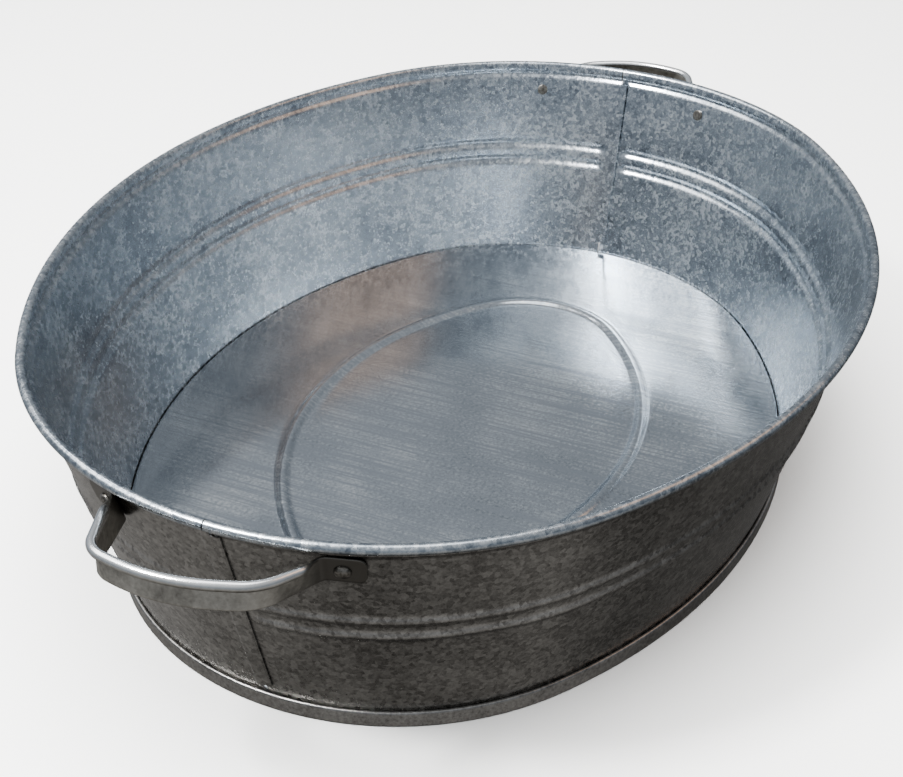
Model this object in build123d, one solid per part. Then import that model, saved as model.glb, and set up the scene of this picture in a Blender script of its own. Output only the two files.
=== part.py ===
from build123d import *
import os
from math import atan2, cos, degrees, radians, sin, tan

# An oval wash tub of galvanised sheet steel with two riveted strap handles.
# Lengths are in millimetres and angles in degrees. +X runs along the tub towards the right
# handle, +Z is up, and the origin is on the ground under the middle of the tub.

# Driving dimensions: the oval body
HEIGHT = 148.0              # ground to the top of the rolled rim
FOOT_HALF_LENGTH = 264.0    # middle of the wall sheet at the foot, along X
FOOT_HALF_WIDTH = 197.0     # the same, along Y
FOOT_END_RADIUS = 165.0     # plan radius of the rounded ends at the foot
FLARE = 36.0                # how much further out the wall stands at the rim
SHEET = 0.7                 # thickness of the body sheet
FOLD_GAP = 0.05             # air left between two folded layers

# Wall beads: height of the middle, radius of the bends and their angle
WALL_BEADS = [(76.0, 2.4, 55.0), (88.0, 2.4, 55.0), (HEIGHT - 8.2, 1.8, 50.0)]

# Rim and foot
WIRE_RADIUS = 2.0           # rim wire inside the curled edge
CURL_TURN = 290.0           # how far the edge is curled round the wire
FLOOR_TOP = 10.0            # inside floor above the ground
FOOT_BAND = 10.0            # height of the double seam round the foot
FOOT_BEND = 3.0             # bend from the upright foot into the flared wall

# Pressed oval ring in the floor
RING_HALF_LENGTH = 170.0
RING_HALF_WIDTH = 107.5
RING_END_RADIUS = 66.0
RING_BENDS = (2.5, 3.5, 50.0)   # edge bend radius, crown bend radius, angle

# Lock seams that join the two wall halves at the ends of the tub
SEAM_HALF_ANGLE = 2.2
SEAM_LOW = 14.0
SEAM_HIGH = HEIGHT - 11.0
WEB_ANGLE = 0.25            # one folded sheet thickness, seen from the end centre

# Handles and rivets
STRAP = 1.5                 # strap thickness
STRAP_WIDTH = 16.5
RIVET_ANGLE = 18.5          # either side of the middle of the handle
RIVET_HEIGHT = 128.0
HANDLE_TURN = -0.8          # how far round the handle sits from the middle of the end
BOW_TILT = 7.5              # the bow rises this steeply from the wall to its crown
BOW_REACH = 43.5            # wall face to the crown point of the bow, before rounding
BOW_CORNERS = [(17.5, 40.5), (7.5, -37.5)]   # back from the crown point, and along Y
BOW_RADII = (6.0, 26.0, 85.0, 15.0)  # at a tab, the back corner, the crown, the front corner
TAB_OUTER = 11.0            # tab beyond the rivet
TAB_INNER = 9.0             # tab between the rivet and the bend
ROLL_RADIUS = 2.4           # rolled upper edge of the bow
RIVET_SHANK = 2.0
RIVET_HOLE = 2.05
RIVET_HEAD = 4.2
RIVET_HEAD_HEIGHT = 2.4
RIVET_TAIL = 3.8
RIVET_TAIL_HEIGHT = 1.0

# Worked out from the dimensions above
LAYER = SHEET + FOLD_GAP
HALF_SHEET = SHEET / 2
BEND_START = FOOT_BAND + 0.6
LEAN = degrees(atan2(FLARE, HEIGHT - BEND_START))
CURL_RADIUS = WIRE_RADIUS + FOLD_GAP + HALF_SHEET
CURL_HEIGHT = HEIGHT - CURL_RADIUS - HALF_SHEET


def oval(half_length, half_width, end_radius):
    """The four arcs of an oval as (centre, radius, start, sweep): east, north, west, south."""
    end = half_length - end_radius
    side_radius = (end**2 + half_width**2 - end_radius**2) / (2 * (half_width - end_radius))
    side = side_radius - half_width
    join = degrees(atan2(side, end))
    return [
        ((end, 0), end_radius, -join, 2 * join),
        ((0, -side), side_radius, join, 180 - 2 * join),
        ((-end, 0), end_radius, 180 - join, 2 * join),
        ((0, side), side_radius, 180 + join, 180 - 2 * join),
    ]


FOOT_OVAL = oval(FOOT_HALF_LENGTH, FOOT_HALF_WIDTH, FOOT_END_RADIUS)
RING_OVAL = oval(RING_HALF_LENGTH, RING_HALF_WIDTH, RING_END_RADIUS)
JOIN = FOOT_OVAL[1][2]


def folded_sheet(start, heading, steps):
    """Cross-section of a folded strip of sheet, as a face in the XZ plane.

    The middle of the sheet starts at start and runs along heading. Each step is a straight
    run (length,) or a bend (radius of the middle, turn), with a turn to the left positive.
    """
    u, z = start
    left, right = [], []

    def side(u, z, heading, offset):
        return Vector(u - offset * sin(radians(heading)), 0, z + offset * cos(radians(heading)))

    for step in steps:
        places = [(u, z, heading)]
        if len(step) == 1:
            u += step[0] * cos(radians(heading))
            z += step[0] * sin(radians(heading))
            places.append((u, z, heading))
        else:
            radius, turn = step
            bend = radius if turn > 0 else -radius
            centre = side(u, z, heading, bend)
            for part in (0.5, 1.0):
                angle = heading + part * turn
                place = side(centre.X, centre.Z, angle, -bend)
                places.append((place.X, place.Z, angle))
            u, z, heading = places[-1]
        for edges, offset in ((left, HALF_SHEET), (right, -HALF_SHEET)):
            points = [side(*place, offset) for place in places]
            edges.append(Line(*points) if len(points) == 2 else ThreePointArc(*points))
    caps = [Line(left[0] @ 0, right[0] @ 0), Line(left[-1] @ 1, right[-1] @ 1)]
    return make_face(Curve() + left + right + caps)


def sector(section, arc, start, sweep):
    """A section turned about the centre of one arc of an oval, from start through sweep."""
    centre, radius = arc[:2]
    turned = revolve(Pos(radius, 0, 0) * section, Axis.Z, sweep)
    return Pos(*centre, 0) * Rot(0, 0, start) * turned


def ring_of(section, arcs):
    """A section carried round all four arcs of an oval."""
    pieces = [sector(section, arc, arc[2], arc[3]) for arc in arcs]
    return pieces[0].fuse(*pieces[1:])


def oval_face(arcs, offset):
    """The plan area inside an oval, moved out by offset."""
    edges = []
    for (x, y), radius, start, sweep in arcs:
        edges.append(CenterArc((x, y), radius + offset, start, sweep))
    return make_face(Curve() + edges)


def wall_out(height):
    """How far the middle of the wall sheet stands out from the foot oval at a height."""
    return (height - BEND_START) * tan(radians(LEAN))


# ---------------------------------------------------------------- wall halves

def bead_steps(radius, angle):
    """A bead pressed outwards in the wall."""
    return [(radius, -angle), (radius, 2 * angle), (radius, -angle)]


def wall_section():
    """Foot hook, upright foot, flared wall with its beads, and the curl round the rim wire."""
    lean_bend = FOOT_BEND * tan(radians(LEAN / 2))
    hook_top = FOOT_BAND - 2 * LAYER
    hook_turn = SHEET + FOLD_GAP + LAYER + HALF_SHEET
    steps = [
        (hook_top - hook_turn,),
        (LAYER, -180),
        (BEND_START - lean_bend - hook_turn,),
        (FOOT_BEND, -LEAN),
    ]
    reached = BEND_START + lean_bend * cos(radians(LEAN))
    for height, radius, angle in WALL_BEADS:
        half_rise = 2 * radius * sin(radians(angle)) * cos(radians(LEAN))
        steps.append(((height - half_rise - reached) / cos(radians(LEAN)),))
        steps += bead_steps(radius, angle)
        reached = height + half_rise
    curl_start = CURL_HEIGHT + CURL_RADIUS * sin(radians(LEAN))
    steps.append(((curl_start - reached) / cos(radians(LEAN)),))
    steps.append((CURL_RADIUS, -CURL_TURN))
    return folded_sheet((2 * LAYER, hook_top), 270, steps)


def seam_strip(inner, outer):
    """Section of a plain strip of the lock seam, from one sheet layer to another."""
    corners = []
    for height, layer, edge in (
        (SEAM_LOW, inner, -HALF_SHEET),
        (SEAM_LOW, outer, HALF_SHEET),
        (SEAM_HIGH, outer, HALF_SHEET),
        (SEAM_HIGH, inner, -HALF_SHEET),
    ):
        out = wall_out(height) + (layer * LAYER + edge) / cos(radians(LEAN))
        corners.append((out, 0, height))
    return make_face(Polyline(*corners, close=True))


def bead_stop(height, radius, angle):
    """Section that closes the end of a bead at the lock seam."""
    crown = 2 * radius * (1 - cos(radians(angle)))
    half_rise = 2 * radius * sin(radians(angle))
    corners = []
    for rise, out in ((-half_rise, -HALF_SHEET), (-1, crown + HALF_SHEET),
                      (1, crown + HALF_SHEET), (half_rise, -HALF_SHEET)):
        z = height + rise * cos(radians(LEAN))
        corners.append((wall_out(z) + out / cos(radians(LEAN)), 0, z))
    return make_face(Polyline(*corners, close=True))


def wall_half():
    """The half of the wall on +Y. Its right end hooks outwards and its left end inwards."""
    section = wall_section()
    east, north, west = FOOT_OVAL[:3]
    hooked = SEAM_HALF_ANGLE + WEB_ANGLE
    joggled = 180 - SEAM_HALF_ANGLE - 2 * WEB_ANGLE
    butt_gap = 0.01
    body = [
        sector(section, east, hooked, JOIN - hooked),
        sector(section, north, *north[2:]),
        sector(section, west, 180 - JOIN, joggled - (180 - JOIN)),
    ]

    # Foot and rim run on to the middle of each seam, where the halves butt
    seam_window = Pos(0, 0, (SEAM_LOW + SEAM_HIGH) / 2) * Box(700, 60, SEAM_HIGH - SEAM_LOW)
    open_window = Pos(0, 0, (SEAM_LOW + SEAM_HIGH) / 2) * Box(700, 60, SEAM_HIGH - SEAM_LOW + 1)
    body.append(sector(section, east, butt_gap, hooked - butt_gap) - seam_window)
    body.append(sector(section, west, joggled, 180 - joggled) - open_window)

    # Right end: the wall itself, a turn outwards, and the hook lying back over it
    start, end = -SEAM_HALF_ANGLE, SEAM_HALF_ANGLE
    body.append(sector(seam_strip(0, 0), east, start, hooked - start))
    body.append(sector(seam_strip(0, 2), east, start, WEB_ANGLE))
    body.append(sector(seam_strip(2, 2), east, start, end - 2 * WEB_ANGLE - start))
    for bead in WALL_BEADS:
        body.append(sector(bead_stop(*bead), east, hooked, WEB_ANGLE))

    # Left end: a step outwards, the outer layer, a turn inwards, and the hook inside it
    start, end = 180 - SEAM_HALF_ANGLE, 180 + SEAM_HALF_ANGLE
    body.append(sector(seam_strip(0, 3), west, joggled, WEB_ANGLE))
    body.append(sector(seam_strip(3, 3), west, joggled, end - joggled))
    body.append(sector(seam_strip(1, 3), west, end - WEB_ANGLE, WEB_ANGLE))
    body.append(sector(seam_strip(1, 1), west, start + 2 * WEB_ANGLE, end - start - 2 * WEB_ANGLE))
    return body[0].fuse(*body[1:])


# ---------------------------------------------------------------- bottom pan

PLATE_EDGE = -14.0          # where the flat floor meets the folded edge, from the foot oval


def pan_edge_section():
    """Edge of the floor: down inside the wall, round under it, up, and hooked over."""
    corner, foot_bend = 2.0, 0.9
    middle = FLOOR_TOP - HALF_SHEET
    ground = HALF_SHEET + foot_bend
    top = FOOT_BAND - LAYER - HALF_SHEET
    steps = [
        (-LAYER - corner - PLATE_EDGE,),
        (corner, -90),
        (middle - corner - ground,),
        (foot_bend, 90),
        (4 * LAYER - 2 * foot_bend,),
        (foot_bend, 90),
        (top - ground,),
        (LAYER, 180),
        (top - 3.2,),
    ]
    return folded_sheet((PLATE_EDGE, middle), 0, steps)


def bottom_pan():
    """The floor with its raised oval ring and its folded edge."""
    edge_bend, crown_bend, angle = RING_BENDS
    half_ring = (edge_bend + crown_bend) * sin(radians(angle))
    middle = FLOOR_TOP - HALF_SHEET
    ring = folded_sheet(
        (-half_ring, middle), 0, [(edge_bend, angle), (crown_bend, -2 * angle), (edge_bend, angle)]
    )
    outside = oval_face(FOOT_OVAL, PLATE_EDGE) - oval_face(RING_OVAL, half_ring)
    inside = oval_face(RING_OVAL, -half_ring)
    plates = [Pos(0, 0, FLOOR_TOP - SHEET) * extrude(area, SHEET) for area in (outside, inside)]
    return ring_of(pan_edge_section(), FOOT_OVAL).fuse(ring_of(ring, RING_OVAL), *plates)


# ---------------------------------------------------------------- rim wire

def rim_wire():
    """The closed steel wire inside the curled rim."""
    out = wall_out(CURL_HEIGHT + CURL_RADIUS * sin(radians(LEAN))) + CURL_RADIUS * cos(radians(LEAN))
    section = Plane.XZ * Pos(out, CURL_HEIGHT) * Circle(WIRE_RADIUS)
    return ring_of(section, FOOT_OVAL)


# ---------------------------------------------------------------- handles and rivets

END_CENTRE = FOOT_OVAL[0][0][0]


def wall_face(height):
    """Radius of the outside of the wall about the end centre, at a height."""
    return FOOT_END_RADIUS + wall_out(height) + (HALF_SHEET + FOLD_GAP) / cos(radians(LEAN))


def rivet_place():
    """Frame at a rivet of the right handle: Z points out of the wall, X along its slope."""
    angle = radians(RIVET_ANGLE)
    lean = radians(LEAN)
    radius = FOOT_END_RADIUS + wall_out(RIVET_HEIGHT)
    origin = Vector(END_CENTRE + radius * cos(angle), radius * sin(angle), RIVET_HEIGHT)
    outwards = Vector(cos(lean) * cos(angle), cos(lean) * sin(angle), -sin(lean))
    upwards = Vector(sin(lean) * cos(angle), sin(lean) * sin(angle), cos(lean))
    return Plane(origin, x_dir=upwards, z_dir=outwards)


def bow_origin():
    """Where the bow's own tilted frame starts: level with the rivets, half way between them."""
    return Vector(END_CENTRE + wall_face(RIVET_HEIGHT) * cos(radians(RIVET_ANGLE)), 0, RIVET_HEIGHT)


def tilted(way):
    """A direction as seen from the bow's own frame."""
    tilt = radians(BOW_TILT)
    return Vector(way.X * cos(tilt) + way.Z * sin(tilt), way.Y, way.Z * cos(tilt) - way.X * sin(tilt))


def strap_path(height):
    """Middle line of the strap at a height in the bow's frame: tab, bow and tab."""
    place = rivet_place()
    face = tilted(place.z_dir)
    seat = tilted(place.origin + place.z_dir * (HALF_SHEET + FOLD_GAP + STRAP / 2) - bow_origin())
    flat = Vector(face.X, face.Y)
    square = flat.normalized()
    along = Vector(-square.Y, square.X)
    trace = Vector(seat.X, seat.Y) - square * ((height - seat.Z) * face.Z / flat.length)
    tab = [trace + along * TAB_OUTER, trace - along * TAB_INNER]
    other = [Vector(p.X, -p.Y) for p in reversed(tab)]
    crown_x = wall_face(RIVET_HEIGHT) * (1 - cos(radians(RIVET_ANGLE))) + BOW_REACH
    back_corner, front_corner = [Vector(crown_x - back, y) for back, y in BOW_CORNERS]
    bend, back_bend, crown, front_bend = BOW_RADII
    points = tab + [back_corner, Vector(crown_x, 0), front_corner] + other
    return FilletPolyline(*points, radius=[bend, back_bend, crown, front_bend, bend])


def strap_outline(height):
    """The strap cut through at a height in the bow's frame."""
    path = strap_path(height)
    sides = [path.offset_2d(STRAP / 2, side=side, closed=False) for side in (Side.LEFT, Side.RIGHT)]
    starts = sorted([sides[0] @ 0, sides[0] @ 1], key=lambda p: p.Y)
    ends = sorted([sides[1] @ 0, sides[1] @ 1], key=lambda p: p.Y)
    caps = [Line(starts[0], ends[0]), Line(starts[1], ends[1])]
    face = make_face(Curve() + sides[0].edges() + sides[1].edges() + caps)
    return Pos(0, 0, height) * face


def right_handle():
    """Strap handle with its upper edge rolled, tilted up, and drilled for two rivets."""
    strap = loft([strap_outline(-STRAP_WIDTH / 2), strap_outline(STRAP_WIDTH / 2)], ruled=True)
    roll_height = STRAP_WIDTH / 2 - ROLL_RADIUS
    path = Pos(0, 0, roll_height) * strap_path(roll_height)
    bow = Wire(path.edges().sort_by(Axis.Y)[2:-2])
    roll = sweep(Plane(bow @ 0, z_dir=bow % 0) * Circle(ROLL_RADIUS), bow)
    hole = rivet_place() * Cylinder(RIVET_HOLE, 20)
    return Pos(bow_origin()) * Rot(0, -BOW_TILT, 0) * strap.fuse(roll) - hole - mirror(hole, Plane.XZ)


def rivet():
    """Rivet of the right handle on +Y: domed head outside, flattened tail inside."""
    tail = HALF_SHEET + 2 * FOLD_GAP
    head = HALF_SHEET + 2 * FOLD_GAP + STRAP
    sphere = (RIVET_HEAD**2 + RIVET_HEAD_HEIGHT**2) / (2 * RIVET_HEAD_HEIGHT)
    crown = head + RIVET_HEAD_HEIGHT
    dome = make_face(Curve() + [
        Line((0, head), (RIVET_HEAD, head)),
        RadiusArc((RIVET_HEAD, head), (0, crown), -sphere),
        Line((0, crown), (0, head)),
    ])
    cap = revolve(Plane.XZ * dome, Axis.Z)
    shank = Pos(0, 0, (head - tail) / 2) * Cylinder(RIVET_SHANK, head + tail + 0.2)
    flat = Pos(0, 0, -tail - RIVET_TAIL_HEIGHT / 2) * Cylinder(RIVET_TAIL, RIVET_TAIL_HEIGHT)
    return rivet_place() * (cap.fuse(shank, flat))


half_turn = Rot(0, 0, 180)
round_the_end = Pos(END_CENTRE, 0, 0) * Rot(0, 0, HANDLE_TURN) * Pos(-END_CENTRE, 0, 0)


def drilled(wall):
    """The back wall half with its holes: the right handle's back rivet, the left's other one."""
    hole = rivet_place() * Cylinder(RIVET_HOLE, 8)
    other = half_turn * round_the_end * mirror(hole, Plane.XZ)
    return wall - round_the_end * hole - other


back_wall = drilled(wall_half())
handle = round_the_end * right_handle()
back_rivet = round_the_end * rivet()
front_rivet = round_the_end * mirror(rivet(), Plane.XZ)

parts = {
    "back_wall": back_wall,
    "front_wall": half_turn * back_wall,
    "bottom_pan": bottom_pan(),
    "rim_wire": rim_wire(),
    "right_handle": handle,
    "left_handle": half_turn * handle,
    "right_back_rivet": back_rivet,
    "right_front_rivet": front_rivet,
    "left_front_rivet": half_turn * back_rivet,
    "left_back_rivet": half_turn * front_rivet,
}

os.makedirs("parts", exist_ok=True)
for name, shape in parts.items():
    export_step(shape, f"parts/{name}.step")
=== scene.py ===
from math import atan2, cos, pi, radians, sin, tan

import bpy
import numpy as np
from mathutils import Matrix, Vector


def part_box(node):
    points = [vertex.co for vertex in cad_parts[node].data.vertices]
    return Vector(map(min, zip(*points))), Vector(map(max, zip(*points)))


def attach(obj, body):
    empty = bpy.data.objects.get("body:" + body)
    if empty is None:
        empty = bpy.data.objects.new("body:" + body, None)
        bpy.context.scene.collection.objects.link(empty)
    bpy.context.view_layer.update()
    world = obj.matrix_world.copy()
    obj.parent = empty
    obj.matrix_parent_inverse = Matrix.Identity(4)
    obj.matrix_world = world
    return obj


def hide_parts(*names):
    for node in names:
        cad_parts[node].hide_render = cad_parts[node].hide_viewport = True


# An oval wash tub of hot-dip galvanised sheet steel. Lengths are in metres.
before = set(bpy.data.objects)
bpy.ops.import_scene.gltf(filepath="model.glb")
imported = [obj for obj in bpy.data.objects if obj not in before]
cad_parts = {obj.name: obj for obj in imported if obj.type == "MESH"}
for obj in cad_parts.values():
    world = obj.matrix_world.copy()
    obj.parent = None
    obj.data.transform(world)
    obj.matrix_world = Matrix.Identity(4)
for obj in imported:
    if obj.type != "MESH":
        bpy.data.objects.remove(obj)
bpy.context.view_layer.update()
scene = bpy.context.scene
MM = 0.001


# ------------------------------------------------------------------------------ camera
# The viewer stands off the left end of the tub and looks down into it.
AIM = (47.5 * MM, 32.8 * MM, 0.0)
VIEW_TURN = radians(203.42)
VIEW_RISE = radians(33.11)
VIEW_ROLL = radians(0.17)
VIEW_DISTANCE = 990.7 * MM
LENS = 57.13
SENSOR = 36.0


def place_camera():
    """Camera on the line back from AIM, level, then rolled about its own axis."""
    back = np.array([cos(VIEW_RISE) * cos(VIEW_TURN), cos(VIEW_RISE) * sin(VIEW_TURN), sin(VIEW_RISE)])
    level = np.array([-sin(VIEW_TURN), cos(VIEW_TURN), 0.0])
    rise = np.cross(back, level)
    right = cos(VIEW_ROLL) * level + sin(VIEW_ROLL) * rise
    up = cos(VIEW_ROLL) * rise - sin(VIEW_ROLL) * level
    data = bpy.data.cameras.new("camera")
    data.lens = LENS
    data.sensor_width = SENSOR
    camera = bpy.data.objects.new("camera", data)
    scene.collection.objects.link(camera)
    turned = Matrix([list(row) for row in np.column_stack([right, up, back])])
    camera.matrix_world = Matrix.Translation(np.array(AIM) + back * VIEW_DISTANCE) @ turned.to_4x4()
    scene.camera = camera


place_camera()


# ------------------------------------------------------------------------------ wall halves
# Each half is one sheet, rolled to the oval, flared, and beaded by rollers. Its top is curled
# round the rim wire, its foot is hooked into the pan, and its ends hook into the other half as
# a lock seam. The whole tub is dipped in zinc afterwards, which leaves the mottled spangle.
SHEET = 0.7 * MM
LAYER = 0.75 * MM
FOOT_BAND = 10.0 * MM
BEND_START = FOOT_BAND + 0.6 * MM
FLARE = 36.0 * MM
END_RADIUS = 165.0 * MM
FOOT_BEND = 3.0 * MM
WIRE_RADIUS = 2.0 * MM
CURL_TURN = radians(290)
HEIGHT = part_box("back_wall")[1][2]
FOOT_HALF = np.array(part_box("bottom_pan")[1])[:2] - 3 * LAYER - SHEET / 2
LEAN = atan2(FLARE, HEIGHT - BEND_START)
BEAD_HEIGHTS = (76.0 * MM, 88.0 * MM)
BEAD_WIDTH = 9.0 * MM
BEAD_RISE = 1.5 * MM
RIDGE_WIDTH = 6.4 * MM
RIDGE_RISE = 1.35 * MM
RIDGE_DROP = 8.2 * MM
SEAM_HALF = 4.0 * MM
SEAM_LOW = 17.0 * MM
SEAM_STEP = 1.5 * MM
SEAM_HIGH = HEIGHT - 11.0 * MM
JOGGLE = 1.9 * MM
BUTT_GAP = 0.3 * MM
CLEARANCE = 0.05 * MM
MEAN_RADIUS = END_RADIUS + FLARE * 0.6
# Close to the seams the sweep is finer. The beads die out in BEAD_FADE beside them.
SEAM_ZONE = 22.0 * MM
COARSE_STEP = 0.006
BEAD_FADE = 9.0 * MM
FADE_LAP = 1.0 * MM
# Points of the profile: the last of the foot hook, and how many stay plain at the top.
HOOK_LAST = 20
CURL_COUNT = 26
# The waviness of the sheet, and how far from foot, rim and seams it dies out.
WAVE_DEPTH = 0.32 * MM
WAVE_LENGTH = 110.0 * MM
WAVE_RADIUS = 250.0 * MM
STILL_FOOT = 50.0 * MM
STILL_RIM = (40.0 * MM, 16.0 * MM)
STILL_SEAM = (12.0 * MM, 50.0 * MM)


def oval(half_length, half_width, end_radius):
    """The end and side arcs of an oval: (end centre, end radius, side centre, side radius, join)."""
    end = half_length - end_radius
    side_radius = (end**2 + half_width**2 - end_radius**2) / (2 * (half_width - end_radius))
    side = side_radius - half_width
    return end, end_radius, side, side_radius, atan2(side, end)


FOOT_OVAL = oval(FOOT_HALF[0], FOOT_HALF[1], END_RADIUS)


def around(arcs, turn, out):
    """Point of an oval whose outward direction is turn, moved out by out: the arc's centre plus
    its radius and out along that direction. turn and out are arrays of one shape."""
    end, end_radius, side, side_radius, join = arcs
    on_end = np.abs(np.cos(turn)) >= cos(join)
    x0 = np.where(on_end, np.sign(np.cos(turn)) * end, 0.0)
    y0 = np.where(on_end, 0.0, -np.sign(np.sin(turn)) * side)
    radius = np.where(on_end, end_radius, side_radius) + out
    return x0 + radius * np.cos(turn), y0 + radius * np.sin(turn)


def wall_out(height):
    """How far the middle of the wall stands out from the foot oval at a height."""
    return (height - BEND_START) * tan(LEAN)


def fold(start, heading, steps, pitch):
    """Middle line of folded sheet: straight runs (length,) and bends (radius, turn) one after the
    other, sampled every pitch. Returns the points, and the directions to the right of travel."""
    points, rights = [], []
    place = np.array(start, float)
    for step in steps:
        if len(step) == 1:
            way = np.linspace(0, step[0], max(2, round(step[0] / pitch) + 1))[:, None]
            line = place + way * np.array([cos(heading), sin(heading)])
            angle = np.full(len(line), heading)
        else:
            radius, turn = step
            angle = heading + np.linspace(0, turn, max(4, round(abs(turn) / radians(12)) + 1))
            bend = radius if turn > 0 else -radius
            centre = place + bend * np.array([-sin(heading), cos(heading)])
            line = centre + bend * np.column_stack([np.sin(angle), -np.cos(angle)])
            heading = angle[-1]
        place = line[-1]
        points.append(line[:-1])
        rights.append(np.column_stack([np.sin(angle), -np.cos(angle)])[:-1])
    points.append(place[None])
    rights.append(np.array([[sin(heading), -cos(heading)]]))
    return np.vstack(points), np.vstack(rights)


def smooth(low, high, value):
    """0 below low, 1 above high, and an S curve between."""
    t = np.clip((value - low) / (high - low), 0, 1)
    return t * t * (3 - 2 * t)


def bump(centre, width, value):
    """A rounded ridge: cosine squared over width, 0 outside it."""
    t = np.clip((value - centre) / width, -0.5, 0.5)
    return np.cos(pi * t) ** 2


def dents(u, v, seed, waves):
    """Slow, uneven hand-rolled waviness from -1 to 1: a sum of sine waves in random directions,
    with wavelengths spread about waves."""
    rng = np.random.default_rng(seed)
    total = np.zeros(np.broadcast(u, v).shape)
    for _ in range(9):
        angle, phase = rng.uniform(0, 2 * pi, 2)
        wave = waves * rng.uniform(0.6, 1.7)
        total = total + np.sin(2 * pi * (u * cos(angle) + v * sin(angle)) / wave + phase)
    return total / 4.5


def grid_faces(rows, columns, start=0):
    """Quads of a grid of points stored row by row, every row closed round."""
    row = np.arange(rows - 1)[:, None] * columns
    c = np.arange(columns)[None]
    c2 = (c + 1) % columns
    quads = np.stack([row + c, row + c2, row + columns + c2, row + columns + c], -1)
    return start + quads.reshape(-1, 4)


def end_caps(rows, columns, start=0):
    """Quads that close the first and the last row of a grid whose rows run out along one face of
    the sheet and back along the other."""
    i = np.arange(columns // 2 - 1)
    cap = start + np.stack([i, i + 1, columns - 2 - i, columns - 1 - i], -1)
    return [cap, (cap + (rows - 1) * columns)[:, ::-1]]


def make_piece(name, points, faces, values=None):
    """Mesh object from points and a list of face arrays, smooth-shaded, with named vertex values."""
    mesh = bpy.data.meshes.new(name)
    mesh.from_pydata(points.tolist(), [], [f for group in faces for f in group.tolist()])
    for key, value in (values or {}).items():
        mesh.attributes.new(key, "FLOAT", "POINT").data.foreach_set("value", value.astype(np.float32))
    mesh.polygons.foreach_set("use_smooth", np.ones(len(mesh.polygons), bool))
    mesh.set_sharp_from_angle(angle=radians(50))
    piece = bpy.data.objects.new(name, mesh)
    scene.collection.objects.link(piece)
    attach(piece, "root")
    return piece


def wall_profile():
    """Middle line of the wall from the foot hook up to the end of the curl, in (out, height)."""
    lean_bend = FOOT_BEND * tan(LEAN / 2)
    curl = WIRE_RADIUS + SHEET / 2 + CLEARANCE
    curl_height = HEIGHT - curl - SHEET / 2
    hook_top = FOOT_BAND - 2 * LAYER
    turn_height = SHEET + 2 * LAYER - SHEET / 2
    slope_start = BEND_START + lean_bend * cos(LEAN)
    slope = (curl_height + curl * sin(LEAN) - slope_start) / cos(LEAN)
    steps = [
        (hook_top - turn_height,),
        (LAYER, -pi),
        (BEND_START - lean_bend - turn_height,),
        (FOOT_BEND, -LEAN),
        (slope,),
        (curl, -CURL_TURN),
    ]
    return fold((2 * LAYER, hook_top), -pi / 2, steps, 1.2 * MM)


def wall_half(name, half_turn, seed):
    """Sweep the wall profile round half the oval, press in the beads, and add the seam folds.

    A point is the oval's point at its turn, moved out by the profile, plus beads, waviness and
    the step of the lock seam along the profile's own outward direction."""
    line, rights = wall_profile()
    seam_turns = np.linspace(BUTT_GAP, SEAM_ZONE, 34)[:-1] / END_RADIUS
    first = seam_turns[-1] + COARSE_STEP
    last = pi - seam_turns[-1] - COARSE_STEP
    turn = np.concatenate([seam_turns, np.linspace(first, last, 190), pi - seam_turns[::-1]])
    height = line[:, 1]
    index = np.arange(len(line))
    on_slope = smooth(BEND_START, BEND_START + 2 * MM, height) * (index > HOOK_LAST)
    on_slope = on_slope * (index < len(line) - CURL_COUNT)
    from_right = turn * MEAN_RADIUS
    from_left = (pi - turn) * MEAN_RADIUS
    fade_left = SEAM_HALF + JOGGLE - FADE_LAP
    fade = smooth(SEAM_HALF, SEAM_HALF + BEAD_FADE, from_right)
    fade = fade * smooth(fade_left, fade_left + BEAD_FADE, from_left)
    beads = sum(BEAD_RISE * bump(h, BEAD_WIDTH * cos(LEAN), height) for h in BEAD_HEIGHTS)
    lift = beads[None] * fade[:, None]
    lift = lift + RIDGE_RISE * bump(HEIGHT - RIDGE_DROP, RIDGE_WIDTH, height)[None]
    step = 1 - smooth(SEAM_HALF + 0.5 * MM, SEAM_HALF + JOGGLE, from_left)
    window = smooth(BEND_START, SEAM_LOW, height) * (1 - smooth(SEAM_HIGH, SEAM_HIGH + 2.5 * MM, height))
    lift = np.maximum(lift, SEAM_STEP * step[:, None] * window[None])
    wave = dents(turn[:, None] * WAVE_RADIUS, height[None], seed, WAVE_LENGTH)
    free = smooth(BEND_START, STILL_FOOT, height)
    free = free * (1 - smooth(HEIGHT - STILL_RIM[0], HEIGHT - STILL_RIM[1], height))
    seam_free = smooth(STILL_SEAM[0], STILL_SEAM[1], np.minimum(from_right, from_left))
    lift = lift + WAVE_DEPTH * wave * free[None] * seam_free[:, None]
    lift = lift * on_slope[None]

    shells, tags = [], []
    for side in (1, -1):
        out = line[None, :, 0] + (lift + side * SHEET / 2) * rights[None, :, 0]
        z = line[None, :, 1] + (lift + side * SHEET / 2) * rights[None, :, 1]
        x, y = around(FOOT_OVAL, np.repeat(turn[:, None], len(line), 1), out)
        order = slice(None, None, side)
        shells.append(np.stack([x, y, z], -1)[:, order])
        tags.append(np.full(x.shape, 1.0 if side > 0 else 0.0))
    loops = np.concatenate(shells, 1)
    rows, columns = loops.shape[:2]
    points, outside = [loops.reshape(-1, 3)], [np.concatenate(tags, 1).ravel()]
    faces = [grid_faces(rows, columns)[:, ::-1]] + end_caps(rows, columns)
    for right_end in (True, False):
        strip, strip_faces, strip_out = seam_strip(right_end, sum(len(p) for p in points))
        points.append(strip)
        faces += strip_faces
        outside.append(strip_out)
    points = np.vstack(points)
    if half_turn:
        points = points * np.array([-1, -1, 1])
    return make_piece(name, points, faces, {"outside": np.concatenate(outside)})


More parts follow.
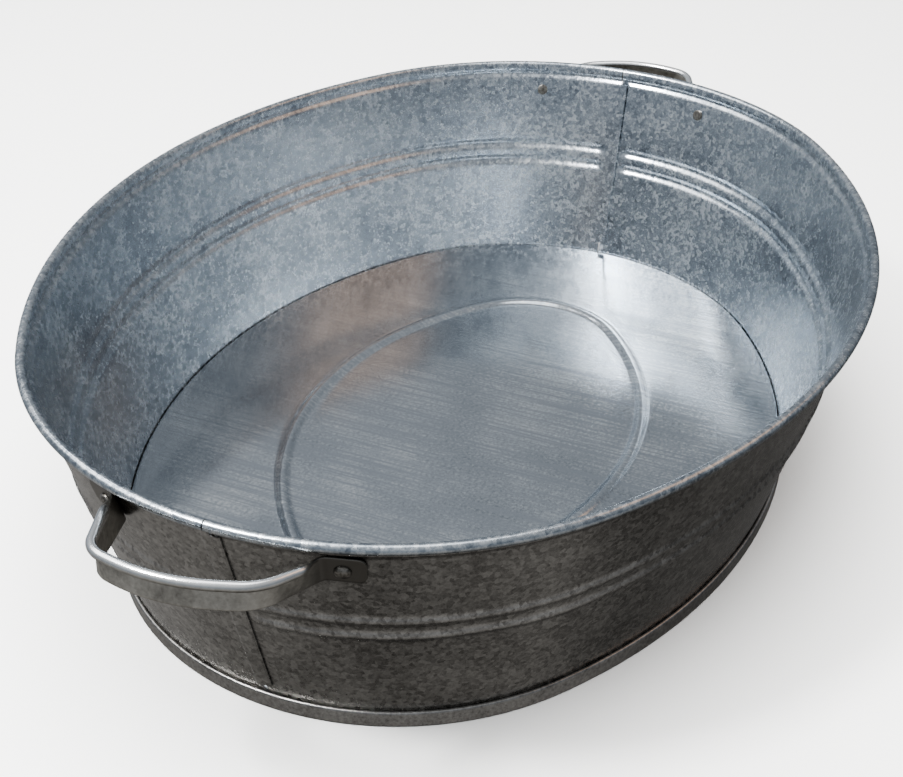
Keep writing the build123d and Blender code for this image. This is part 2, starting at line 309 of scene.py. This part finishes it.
def seam_strip(right_end, start):
    """The folded edge of one end of a wall half: a run on past the middle of the seam, a half
    turn, and a short hook lying back. It is a thick line in (along, out), carried up the slope."""
    steps = [(SEAM_HALF + BUTT_GAP,), (LAYER / 2, -pi), (SEAM_HALF / 2,)]
    if right_end:
        line, rights = fold((BUTT_GAP, 0), pi, steps, 1.5 * MM)
    else:
        line, rights = fold((-BUTT_GAP, SEAM_STEP), 0, steps, 1.5 * MM)
    loop = np.vstack([line + rights * SHEET / 2, (line - rights * SHEET / 2)[::-1]])
    height = np.linspace(SEAM_LOW, SEAM_HIGH, 40)[:, None]
    base = wall_out(height)
    out = base + loop[None, :, 1] / cos(LEAN)
    along = loop[None, :, 0] / (END_RADIUS + base)
    turn = along if right_end else pi + along
    x, y = around(FOOT_OVAL, turn + 0 * out, out)
    points = np.stack([x, y, height + 0 * x], -1)
    rows, columns = points.shape[:2]
    faces = [grid_faces(rows, columns, start)[:, ::-1]] + end_caps(rows, columns, start)
    outside = np.repeat((loop[:, 1] > SHEET).astype(float)[None], rows, 0)
    return points.reshape(-1, 3), faces, outside.ravel()


walls = [wall_half("back_wall_sheet", False, 3), wall_half("front_wall_sheet", True, 8)]
for wall, node in zip(walls, ("back_wall", "front_wall")):
    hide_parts(node)


def linear(code):
    """sRGB hex colour to the linear colour that the shaders take."""
    channels = [int(code[i:i + 2], 16) / 255 for i in (1, 3, 5)]
    return [c / 12.92 if c <= 0.04045 else ((c + 0.055) / 1.055) ** 2.4 for c in channels] + [1.0]


def add(tree, kind, inputs=None, **settings):
    """One node with its settings, and its inputs as values or as sockets to link from."""
    node = tree.nodes.new(kind)
    for key, value in settings.items():
        setattr(node, key, value)
    for key, value in (inputs or {}).items():
        if isinstance(value, bpy.types.NodeSocket):
            tree.links.new(value, node.inputs[key])
        else:
            node.inputs[key].default_value = value
    return node


def noise(tree, place, size, detail, roughness=0.5):
    """Fractal noise with features about size across."""
    inputs = {"Vector": place, "Scale": 1 / size, "Detail": detail, "Roughness": roughness}
    return add(tree, "ShaderNodeTexNoise", inputs).outputs["Fac"]


def blend(tree, share, first, second, kind="FLOAT"):
    """Two numbers mixed, or two colours where kind is RGBA. share is how much of the second."""
    inputs = {"Factor": share, "A": first, "B": second}
    return add(tree, "ShaderNodeMix", inputs, data_type=kind).outputs["Result"]


def spread(tree, value, low, high, to_low=0.0, to_high=1.0, **settings):
    """The value with low and high stretched to to_low and to_high, and held beyond them."""
    inputs = {"Value": value, "From Min": low, "From Max": high, "To Min": to_low, "To Max": to_high}
    return add(tree, "ShaderNodeMapRange", inputs, **settings).outputs[0]


def dress(tree, shader, colour, rough, height, strength, depth):
    """Join a colour, a roughness and a fine relief to a shader."""
    relief = add(tree, "ShaderNodeBump", {"Strength": strength, "Distance": depth, "Height": height})
    tree.links.new(colour, shader.inputs["Base Color"])
    tree.links.new(rough, shader.inputs["Roughness"])
    tree.links.new(relief.outputs[0], shader.inputs["Normal"])


def ramp(tree, factor, stops):
    """A colour ramp from (position, hex colour) stops."""
    node = add(tree, "ShaderNodeValToRGB", {"Fac": factor})
    while len(node.color_ramp.elements) < len(stops):
        node.color_ramp.elements.new(0.5)
    for element, (position, code) in zip(node.color_ramp.elements, stops):
        element.position = position
        element.color = linear(code)
    return node.outputs["Color"]


def new_material(name):
    """An empty material: its tree, and its shader joined to the output."""
    material = bpy.data.materials.new(name)
    material.use_nodes = True
    tree = material.node_tree
    tree.nodes.clear()
    shader = add(tree, "ShaderNodeBsdfPrincipled", {"Metallic": 1.0})
    add(tree, "ShaderNodeOutputMaterial", {"Surface": shader.outputs[0]})
    return material, tree, shader


def galvanised_wall():
    """Hot-dip galvanised sheet: zinc crystals a few millimetres across, each with its own grey and
    gloss, over a slow bloom. The outside is rougher, and darker and browner: partly from handling and the
    weather, partly painted shade, as the outside faces away from the light."""
    material, tree, shader = new_material("galvanised_zinc_spangle")
    place = add(tree, "ShaderNodeTexCoord").outputs["Object"]
    crystals = add(tree, "ShaderNodeTexVoronoi", {"Vector": place, "Scale": 1 / (2.6 * MM)})
    grain = noise(tree, place, 1.6 * MM, 3.0, 0.75)
    bloom = noise(tree, place, 55 * MM, 5.0, 0.65)
    cell = add(tree, "ShaderNodeSeparateColor", {"Color": crystals.outputs["Color"]}).outputs["Red"]
    mixed = blend(tree, 0.72, cell, grain)
    half = blend(tree, 0.35, mixed, bloom)
    inside = ramp(tree, half, [(0.32, "#78818C"), (0.48, "#B2BAC1"), (0.66, "#E2E6E9")])
    # Outside faces take a darker, browner ramp: partly weathering, partly painted shade of the side turned
    # away from the light.
    outside_wear_and_shade = ramp(tree, half, [(0.32, "#63615E"), (0.48, "#959390"), (0.66, "#BFBDB9")])
    outside = add(tree, "ShaderNodeAttribute", attribute_name="outside").outputs["Fac"]
    colour = blend(tree, outside, inside, outside_wear_and_shade, "RGBA")
    gloss = spread(tree, half, 0.3, 0.7, 0.17, 0.33)
    rough = add(tree, "ShaderNodeMath", {0: outside, 1: 0.04, 2: gloss}, operation="MULTIPLY_ADD").outputs[0]
    dress(tree, shader, colour, rough, half, 0.25, 0.1 * MM)
    return material


wall_zinc = galvanised_wall()
for wall in walls:
    wall.data.materials.append(wall_zinc)


# ------------------------------------------------------------------------------ bottom pan
# One sheet: a flat floor with an oval ring pressed up in it for stiffness. Its edge is turned down
# inside the wall, round under it, up outside, and hooked over the wall's own hook.
FLOOR_TOP = 10.0 * MM
RING_OVAL = oval(170.0 * MM, 107.5 * MM, 66.0 * MM)
RING_WIDTH = 11.5 * MM
RING_RISE = 2.1 * MM
PLATE_EDGE = -14.0 * MM
CORNER = 2.0 * MM
GROUND_BEND = 0.9 * MM
HOOK_END = 3.2 * MM
PAN_COLUMNS = 416
# The floor's waviness, and how many rows it takes to die out before the folded edge.
PAN_WAVE_DEPTH = 0.35 * MM
PAN_WAVE_LENGTH = 160.0 * MM
STILL_ROWS = 6
# How many points of the folded edge are still inside the tub.
INSIDE_EDGE = 10


def pan_edge():
    """Middle line of the pan's folded edge, in (out from the foot oval, height)."""
    middle = FLOOR_TOP - SHEET / 2
    ground = SHEET / 2 + GROUND_BEND
    top = FOOT_BAND - LAYER - SHEET / 2
    steps = [
        (-LAYER - CORNER - PLATE_EDGE,),
        (CORNER, -pi / 2),
        (middle - CORNER - ground,),
        (GROUND_BEND, pi / 2),
        (4 * LAYER - 2 * GROUND_BEND,),
        (GROUND_BEND, pi / 2),
        (top - ground,),
        (LAYER, pi),
        (top - HOOK_END,),
    ]
    return fold((PLATE_EDGE, middle), 0.0, steps, 2.0 * MM)


def bottom_pan():
    """Rows of points round the oval: scaled up from the middle to the ring, over the ring's rounded
    bead, blended from the ring's oval to the foot oval, then along the folded edge. The upper and
    the lower face are the middle of the sheet moved half its thickness each way. The floor is a
    little wavy, less so towards its edge."""
    turn = np.linspace(0, 2 * pi, PAN_COLUMNS + 1)[:-1]
    middle = FLOOR_TOP - SHEET / 2
    rows = []
    ring_in = np.stack(around(RING_OVAL, turn, 0 * turn - RING_WIDTH / 2), -1)
    ring_out = np.stack(around(RING_OVAL, turn, 0 * turn + RING_WIDTH / 2), -1)
    plate = np.stack(around(FOOT_OVAL, turn, 0 * turn + PLATE_EDGE), -1)
    rows += [(ring_in * q, 0 * turn) for q in np.linspace(0, 1, 27)[1:-1]]
    for way in np.linspace(-0.5, 0.5, 15):
        xy = np.stack(around(RING_OVAL, turn, 0 * turn + way * RING_WIDTH), -1)
        rows.append((xy, 0 * turn + RING_RISE * bump(0, 1, way)))
    rows += [(ring_out * (1 - q) + plate * q, 0 * turn) for q in np.linspace(0, 1, 25)[1:-1]]
    flat = np.stack([np.column_stack([xy, middle + rise]) for xy, rise in rows])
    edge, rights = pan_edge()
    x, y = around(FOOT_OVAL, np.repeat(turn[None], len(edge), 0), np.repeat(edge[:, :1], len(turn), 1))
    folded = np.stack([x, y, np.repeat(edge[:, 1:], len(turn), 1)], -1)
    direction = np.stack([np.cos(turn), np.sin(turn), 0 * turn], -1)
    folded_up = -(rights[:, None, :1] * direction[None] + rights[:, None, 1:] * np.array([0, 0, 1.0]))
    slope = np.gradient(flat[:, :, 2] - middle, axis=0)
    spread = np.linalg.norm(np.gradient(flat[:, :, :2], axis=0), axis=-1)
    lean_out = np.arctan2(slope, spread)[..., None]
    flat_up = np.cos(lean_out) * np.array([0, 0, 1.0]) - np.sin(lean_out) * direction[None]
    sheet = np.concatenate([flat, folded])
    up = np.concatenate([flat_up, folded_up])
    edge_share = np.concatenate([np.zeros(len(flat) - STILL_ROWS), np.linspace(0, 1, STILL_ROWS),
                                 np.ones(len(folded))])
    wave = dents(sheet[..., 0], sheet[..., 1], 5, PAN_WAVE_LENGTH)
    sheet[..., 2] += PAN_WAVE_DEPTH * wave * (1 - edge_share)[:, None]
    upper, lower = sheet + up * SHEET / 2, sheet - up * SHEET / 2
    loops = np.concatenate([upper, lower[::-1]])
    rows_count, columns = loops.shape[:2]
    points = np.vstack([loops.reshape(-1, 3), upper[0].mean(0), lower[0].mean(0)])
    quads = grid_faces(rows_count, columns)[:, ::-1]
    c = np.arange(columns)
    top, bottom = len(points) - 2, len(points) - 1
    fan_top = np.stack([c, (c + 1) % columns, np.full(columns, top)], -1)
    last = (rows_count - 1) * columns
    fan_bottom = np.stack([last + (c + 1) % columns, last + c, np.full(columns, bottom)], -1)
    inner = np.ones(len(sheet))
    inner[len(flat) + INSIDE_EDGE:] = 0
    outside = 1 - np.repeat(np.concatenate([inner, np.zeros(len(sheet))]), columns)
    return make_piece("bottom_pan_sheet", points, [quads, fan_top, fan_bottom],
                      {"outside": np.concatenate([outside, [0, 1]])})


pan = bottom_pan()
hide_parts("bottom_pan")


def galvanised_floor():
    """The same zinc, glossier where washing has rubbed it, with fine straight scratches running
    across it."""
    material, tree, shader = new_material("galvanised_zinc_worn_bright")
    place = add(tree, "ShaderNodeTexCoord").outputs["Object"]
    grain = noise(tree, place, 2.0 * MM, 3.0, 0.7)
    bloom = noise(tree, place, 60 * MM, 4.0, 0.6)
    along = add(tree, "ShaderNodeMapping", {"Vector": place, "Scale": (1 / (2.0 * MM), 1 / (150 * MM), 1.0)})
    scratch = noise(tree, along.outputs[0], 1.0, 2.0, 0.7)
    lines = spread(tree, scratch, 0.42, 0.62)
    mix = blend(tree, 0.45, grain, bloom)
    inside = ramp(tree, mix, [(0.34, "#8A9199"), (0.50, "#B9C0C6"), (0.66, "#E4E8EA")])
    lined = blend(tree, lines, inside, linear("#A9B0B8"), "RGBA")
    # Outside faces of the pan take the darker, browner ramp: partly weathering, partly painted shade of the
    # side turned away from the light.
    outside_wear_and_shade = ramp(tree, mix, [(0.34, "#63615E"), (0.50, "#959390"), (0.66, "#B9B7B3")])
    outside = add(tree, "ShaderNodeAttribute", attribute_name="outside").outputs["Fac"]
    colour = blend(tree, outside, lined, outside_wear_and_shade, "RGBA")
    gloss = spread(tree, mix, 0.35, 0.65, 0.09, 0.19)
    rough = add(tree, "ShaderNodeMath", {0: outside, 1: 0.18, 2: gloss}, operation="MULTIPLY_ADD").outputs[0]
    dress(tree, shader, colour, rough, mix, 0.2, 0.1 * MM)
    return material


pan.data.materials.append(galvanised_floor())


# ------------------------------------------------------------------------------ rim wire
# Drawn steel wire closed into a hoop; the wall's edge is curled round it, so little of it shows.
def drawn_wire():
    """Dull grey drawn steel with faint length marks."""
    material, tree, shader = new_material("drawn_steel_wire")
    place = add(tree, "ShaderNodeTexCoord").outputs["Object"]
    marks = noise(tree, place, 4 * MM, 3.0)
    colour = ramp(tree, marks, [(0.35, "#5C5C5C"), (0.65, "#8C8C8C")])
    rough = spread(tree, marks, 0.0, 1.0, 0.3, 0.5)
    tree.links.new(colour, shader.inputs["Base Color"])
    tree.links.new(rough, shader.inputs["Roughness"])
    return material


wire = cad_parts["rim_wire"]
wire.data.materials.clear()
wire.data.materials.append(drawn_wire())


# ------------------------------------------------------------------------------ handles
# A galvanised strip bent into a bow, its upper edge rolled outwards so that it does not cut the
# hand. Both ends are flattened into tabs that lie on the wall and are riveted to it.
STRAP = 1.5 * MM
STRAP_WIDTH = 16.5 * MM
ROLL = 2.6 * MM
RIVET_ANGLE = radians(18.5)
RIVET_HEIGHT = 128.0 * MM
HANDLE_TURN = radians(-0.8)
TAB_OUTER = 11.0 * MM
TAB_INNER = 9.0 * MM
TAB_CORNER = 4.0 * MM
BOW_TILT = radians(7.5)
BOW_REACH = 43.5 * MM
BOW_CORNERS = ((17.5 * MM, 40.5 * MM), (7.5 * MM, -37.5 * MM))
BOW_RADII = (6.0 * MM, 26.0 * MM, 85.0 * MM, 15.0 * MM, 6.0 * MM)
# The flat faces of the section start LIP_START above its lower edge, the roll is wound as far as
# ROLL_END, and it swells up between these distances from the end of the strap.
LIP_START = 0.6 * MM
ROLL_END = -0.62 * pi
SWELL = (TAB_OUTER + TAB_INNER + 1.0 * MM, TAB_OUTER + TAB_INNER + 14.0 * MM)
END_CENTRE = FOOT_OVAL[0]


def rivet_axes():
    """The middle of the wall sheet at a rivet, and the directions out of the wall and up it."""
    radius = END_RADIUS + wall_out(RIVET_HEIGHT)
    origin = np.array([END_CENTRE + radius * cos(RIVET_ANGLE), radius * sin(RIVET_ANGLE), RIVET_HEIGHT])
    out = np.array([cos(LEAN) * cos(RIVET_ANGLE), cos(LEAN) * sin(RIVET_ANGLE), -sin(LEAN)])
    rise = np.array([sin(LEAN) * cos(RIVET_ANGLE), sin(LEAN) * sin(RIVET_ANGLE), cos(LEAN)])
    return origin, out, rise


def round_the_end(points):
    """Turn points about the upright axis of the right end, as the handle sits a little off it."""
    x, y = points[..., 0] - END_CENTRE, points[..., 1]
    c, s = cos(HANDLE_TURN), sin(HANDLE_TURN)
    return np.stack([END_CENTRE + c * x - s * y, s * x + c * y, points[..., 2]], -1)


WALL_FACE = END_RADIUS + wall_out(RIVET_HEIGHT) + (SHEET / 2 + CLEARANCE) / cos(LEAN)
BOW_ORIGIN = np.array([END_CENTRE + WALL_FACE * cos(RIVET_ANGLE), 0, RIVET_HEIGHT])
BOW_AXES = np.array([[cos(BOW_TILT), 0, sin(BOW_TILT)], [0, 1, 0], [-sin(BOW_TILT), 0, cos(BOW_TILT)]])


def strap_line(height):
    """Middle of the strap at a height in the bow's tilted frame, from tab end to tab end: straight
    runs joined by arcs, with the same number of samples on each at every height. The tabs lie on
    the wall, so they move in or out with height as the wall leans."""
    origin, out = rivet_axes()[:2]
    face = BOW_AXES @ out
    seat = BOW_AXES @ (origin + out * (SHEET / 2 + CLEARANCE + STRAP / 2) - BOW_ORIGIN)
    flat = np.linalg.norm(face[:2])
    square = face[:2] / flat
    along = np.array([-square[1], square[0]])
    trace = seat[:2] - square * (height - seat[2]) * face[2] / flat
    crown = WALL_FACE * (1 - cos(RIVET_ANGLE)) + BOW_REACH
    tab = [trace + along * TAB_OUTER, trace - along * TAB_INNER]
    bow = [np.array([crown - BOW_CORNERS[0][0], BOW_CORNERS[0][1]]), np.array([crown, 0]),
           np.array([crown - BOW_CORNERS[1][0], BOW_CORNERS[1][1]])]
    corners = tab + bow + [p * np.array([1, -1]) for p in reversed(tab)]
    pieces, place = [], corners[0]
    for before, corner, after, radius in zip(corners, corners[1:], corners[2:], BOW_RADII):
        into = (corner - before) / np.linalg.norm(corner - before)
        away = (after - corner) / np.linalg.norm(after - corner)
        turn = atan2(into[0] * away[1] - into[1] * away[0], into @ away)
        reach = radius * tan(abs(turn) / 2)
        start, side = corner - into * reach, np.sign(turn)
        pieces.append(place + np.linspace(0, 1, 13)[:-1, None] * (start - place))
        angle = np.linspace(0, turn, 14)[:-1, None]
        centre = start + side * radius * np.array([-into[1], into[0]])
        spoke = start - centre
        pieces.append(centre + np.cos(angle) * spoke + np.sin(angle) * np.array([-spoke[1], spoke[0]]))
        place = corner + away * reach
    pieces.append(place + np.linspace(0, 1, 13)[:, None] * (corners[-1] - place))
    return np.vstack(pieces)


def strap_handle(name, half_turn):
    """Carry the strip's section along the bow. The section is a closed loop in (up, out): a plain
    strip at the tabs that swells along its upper edge into a roll on the bow."""
    width = STRAP_WIDTH
    low, high = strap_line(-width / 2), strap_line(width / 2)
    middle = (low + high) / 2
    way = np.gradient(middle, axis=0)
    way /= np.linalg.norm(way, axis=1)[:, None]
    normal = np.column_stack([-way[:, 1], way[:, 0]])
    travel = np.concatenate([[0], np.cumsum(np.linalg.norm(np.diff(middle, axis=0), axis=1))])
    from_end = np.minimum(travel, travel[-1] - travel)
    t = STRAP / 2

    up_face = LIP_START + np.linspace(0, 1, 15) * (width - ROLL - LIP_START)
    roll_angle = np.linspace(pi, ROLL_END, 30)
    roll = np.column_stack([width - ROLL + ROLL * np.sin(roll_angle), -t + ROLL + ROLL * np.cos(roll_angle)])
    down_face = np.linspace(roll[-1, 0], LIP_START, 15)[1:]
    lip = np.linspace(0, pi, 8)[1:-1]
    lip_loop = np.column_stack([t - t * np.sin(lip), t * np.cos(lip)])
    bow = np.vstack([np.column_stack([up_face, 0 * up_face - t]), roll[1:],
                     np.column_stack([down_face, 0 * down_face + t]), lip_loop])
    top_angle = np.linspace(pi, 0, 29)
    top = np.column_stack([width - t + t * np.sin(top_angle), t * np.cos(top_angle)])
    tab_up = LIP_START + np.linspace(0, 1, 15) * (width - t - LIP_START)
    tab_down = tab_up[::-1][1:]
    tab = np.vstack([np.column_stack([tab_up, 0 * tab_up - t]), top,
                     np.column_stack([tab_down, 0 * tab_down + t]), lip_loop])
    rolled = smooth(SWELL[0], SWELL[1], from_end)[:, None, None]
    loop = tab[None] * (1 - rolled) + bow[None] * rolled
    cut = TAB_CORNER * (1 - np.sqrt(np.clip(1 - (1 - from_end / TAB_CORNER).clip(0) ** 2, 0, 1)))
    up = width / 2 + (loop[..., 0] - width / 2) * (1 - 2 * cut / width)[:, None]
    share = (up / width)[..., None]
    plan = low[:, None] * (1 - share) + high[:, None] * share + normal[:, None] * loop[..., 1:2]
    points = np.concatenate([plan, up[..., None] - width / 2], -1)
    points = round_the_end(points @ BOW_AXES + BOW_ORIGIN)
    rows, columns = points.shape[:2]
    faces = [grid_faces(rows, columns)[:, ::-1]]
    for row, flip in ((0, True), (rows - 1, False)):
        ring = row * columns + np.arange(columns)
        faces.append((ring if flip else ring[::-1])[None])
    points = points.reshape(-1, 3)
    if half_turn:
        points = points * np.array([-1, -1, 1])
    return make_piece(name, points, faces, {"edge": (loop[..., 0] / width * rolled[..., 0]).ravel(),
                                          "tab": (1 - rolled[..., 0] + 0 * loop[..., 0]).ravel()})


handles = [strap_handle("right_handle_strap", False), strap_handle("left_handle_strap", True)]
for handle, node in zip(handles, ("right_handle", "left_handle")):
    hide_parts(node)


def strap_zinc_with_painted_light():
    """Galvanised strip: dull grey with small crystals, a painted highlight and extra gloss along the rolled
    edge, and painted shade on the tabs.
    """
    material, tree, shader = new_material("galvanised_strip_painted_light")
    place = add(tree, "ShaderNodeTexCoord").outputs["Object"]
    grain = noise(tree, place, 3 * MM, 4.0, 0.65)
    bloom = noise(tree, place, 22 * MM, 3.0)
    mix = blend(tree, 0.5, grain, bloom)
    dull = ramp(tree, mix, [(0.34, "#85827C"), (0.52, "#B3B0A8"), (0.68, "#D2CFC7")])
    edge = add(tree, "ShaderNodeAttribute", attribute_name="edge").outputs["Fac"]
    # Near-white colour along the upper rolled edge: a painted highlight standing in for its reflection of
    # the sky; the edge is also made glossier.
    edge_gloss_and_highlight = spread(tree, edge, 0.78, 0.95)
    colour = blend(tree, edge_gloss_and_highlight, dull, linear("#F2F3F3"), "RGBA")
    # The tabs are blended to a flat dark grey: painted shade for the rim's shadow over them.
    tab = add(tree, "ShaderNodeAttribute", attribute_name="tab").outputs["Fac"]
    tab_painted_shade = blend(tree, tab, colour, linear("#6E6B66"), "RGBA")
    dull_rough = spread(tree, mix, 0.3, 0.7, 0.26, 0.42)
    rough = blend(tree, edge_gloss_and_highlight, dull_rough, 0.2)
    dress(tree, shader, tab_painted_shade, rough, mix, 0.3, 0.15 * MM)
    return material


strap_zinc = strap_zinc_with_painted_light()
for handle in handles:
    handle.data.materials.append(strap_zinc)


# ------------------------------------------------------------------------------ rivets
# Four steel rivets, round-headed outside and hammered flat inside, dipped with the tub.
RIVET_HEAD = 4.2 * MM
RIVET_HEAD_HEIGHT = 2.4 * MM
RIVET_TAIL = 3.8 * MM
RIVET_TAIL_HEIGHT = 1.0 * MM
RIVET_SHANK = 2.0 * MM
RIVET_GAP = 0.1 * MM
RIVET_BEVEL = 0.5 * MM


def rivet_profile():
    """Half section in (radius, along): domed head, shank, and flattened tail with a soft edge."""
    head = SHEET / 2 + RIVET_GAP + STRAP
    tail = -SHEET / 2 - RIVET_GAP
    arc = np.linspace(0, pi / 2, 12)
    dome = np.column_stack([RIVET_HEAD * np.sin(arc), head + RIVET_HEAD_HEIGHT * np.cos(arc)])
    bevel = np.linspace(0, pi / 2, 6)
    edge = np.column_stack([RIVET_TAIL - RIVET_BEVEL + RIVET_BEVEL * np.cos(bevel),
                            tail - RIVET_TAIL_HEIGHT + RIVET_BEVEL - RIVET_BEVEL * np.sin(bevel)])
    shank = np.array([[RIVET_SHANK, head], [RIVET_SHANK, tail], [RIVET_TAIL, tail]])
    return np.vstack([dome, shank, edge, [[0, tail - RIVET_TAIL_HEIGHT]]])


def rivet(name, node, x_sign, y_sign):
    """Turn the half section about the line square to the wall at the rivet."""
    profile = rivet_profile()
    turn = np.linspace(0, 2 * pi, 41)[:-1]
    origin, out, rise = rivet_axes()
    side = np.cross(out, rise)
    ring = np.cos(turn)[:, None] * rise + np.sin(turn)[:, None] * side
    body = origin + profile[1:-1, None, :1] * ring[None] + profile[1:-1, None, 1:] * out
    ends = origin + profile[[0, -1], 1:] * out
    rows, columns = body.shape[:2]
    points = np.vstack([body.reshape(-1, 3), ends])
    points = round_the_end(points * np.array([1, x_sign * y_sign, 1])) * np.array([x_sign, x_sign, 1])
    c = np.arange(columns)
    last = (rows - 1) * columns
    tip = np.stack([(c + 1) % columns, c, np.full(columns, rows * columns)], -1)
    foot = np.stack([last + c, last + (c + 1) % columns, np.full(columns, rows * columns + 1)], -1)
    faces = [grid_faces(rows, columns), tip, foot]
    if x_sign * y_sign > 0:
        faces = [f[:, ::-1] for f in faces]
    piece = make_piece(name, points, faces)
    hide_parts(node)
    return piece


def dipped_steel():
    """Small steel heads under dull zinc, a little darker and smoother than the sheet."""
    material, tree, shader = new_material("dipped_rivet_steel")
    place = add(tree, "ShaderNodeTexCoord").outputs["Object"]
    grain = noise(tree, place, 1.6 * MM, 3.0)
    colour = ramp(tree, grain, [(0.35, "#55524C"), (0.65, "#8F8B84")])
    rough = spread(tree, grain, 0.0, 1.0, 0.25, 0.45)
    dress(tree, shader, colour, rough, grain, 0.4, 0.15 * MM)
    return material


rivet_steel = dipped_steel()
for x_name, x_sign in (("right", 1), ("left", -1)):
    for y_name, y_sign in (("back", 1), ("front", -1)):
        head = rivet(f"{x_name}_{y_name}_rivet_head", f"{x_name}_{y_name}_rivet", x_sign, y_sign)
        head.data.materials.append(rivet_steel)


# ------------------------------------------------------------------------------ studio
# A plain pale floor under a soft sky, brighter overhead and darker towards the ground.
def studio_floor():
    """A wide pale sheet just under the tub. It isn't seen in reflections."""
    mesh = bpy.data.meshes.new("floor")
    size = 6.0
    corners = [(-size, -size, 0), (size, -size, 0), (size, size, 0), (-size, size, 0)]
    mesh.from_pydata(corners, [], [(0, 1, 2, 3)])
    floor = bpy.data.objects.new("floor", mesh)
    scene.collection.objects.link(floor)
    material = bpy.data.materials.new("pale_paper")
    material.use_nodes = True
    shader = material.node_tree.nodes["Principled BSDF"]
    shader.inputs["Base Color"].default_value = linear("#F4F4F2")
    shader.inputs["Roughness"].default_value = 0.9
    mesh.materials.append(material)
    floor.visible_glossy = False


def soft_light(name, place, aim, size, power, code):
    """A square area light at place, facing aim."""
    data = bpy.data.lights.new(name, "AREA")
    data.size = size
    data.energy = power
    data.color = linear(code)[:3]
    light = bpy.data.objects.new(name, data)
    scene.collection.objects.link(light)
    back = (np.array(place) - np.array(aim)).astype(float)
    back /= np.linalg.norm(back)
    side = np.cross([0, 0, 1.0], back)
    side /= np.linalg.norm(side)
    turned = Matrix([list(row) for row in np.column_stack([side, np.cross(back, side), back])])
    light.matrix_world = Matrix.Translation(place) @ turned.to_4x4()
    return light


def sky():
    """World light that depends only on where it comes from: blue-grey and brighter overhead, warm
    and dim below the level of the ground, and less of both towards the front right."""
    world = bpy.data.worlds.new("sky")
    scene.world = world
    world.use_nodes = True
    tree = world.node_tree
    tree.nodes.clear()
    way = add(tree, "ShaderNodeTexCoord").outputs["Generated"]
    rise = add(tree, "ShaderNodeSeparateXYZ", {"Vector": way}).outputs["Z"]
    share = spread(tree, rise, -1.0, 1.0)
    colour = ramp(tree, share, [(0.0, "#3E3C3A"), (0.06, "#8A8885"), (0.2, "#AAA8A6"), (0.5, "#98A1AB"),
                                (1.0, "#F4F7FA")])
    sky_way = add(tree, "ShaderNodeVectorMath", {0: way, 1: (-0.57, 0.82, 0.0)}, operation="DOT_PRODUCT")
    sky_level = spread(tree, sky_way.outputs["Value"], -0.8, 0.6, 0.56, 0.95,
                       interpolation_type="SMOOTHSTEP")
    ground_way = add(tree, "ShaderNodeVectorMath", {0: way, 1: (-0.9, 0.3, 0.0)}, operation="DOT_PRODUCT")
    ground_level = spread(tree, ground_way.outputs["Value"], -0.45, -0.2, 0.28, 0.95,
                          interpolation_type="SMOOTHSTEP")
    above = spread(tree, rise, -0.3, 0.1)
    level = blend(tree, above, ground_level, sky_level)
    shine = add(tree, "ShaderNodeBackground", {"Color": colour, "Strength": level})
    add(tree, "ShaderNodeOutputWorld", {"Surface": shine.outputs[0]})


studio_floor()
sky()
soft_light("key", (-0.29, 1.07, 1.42), (0, 0, 0.05), 1.1, 15, "#FFFFFF")
soft_light("window", (-0.75, 0.63, 1.51), (0.1, 0, 0.05), 0.30, 64, "#FFFFFF")
soft_light("side_window", (0.46, 1.14, 1.33), (0.1, 0, 0.05), 0.2, 2.5, "#FFFFFF")
soft_light("overhead", (0.0, 0.1, 2.0), (0, 0, 0), 1.0, 10, "#FFFFFF")
soft_light("warm_card", (0.46, -0.90, 1.24), (0, 0, 0.05), 0.8, 2.6, "#D8A070")
paper_light = soft_light("paper_light", (-0.2, 0.1, 2.6), (0, 0, 0), 2.4, 330, "#FFFFFF")
paper_light.visible_glossy = False
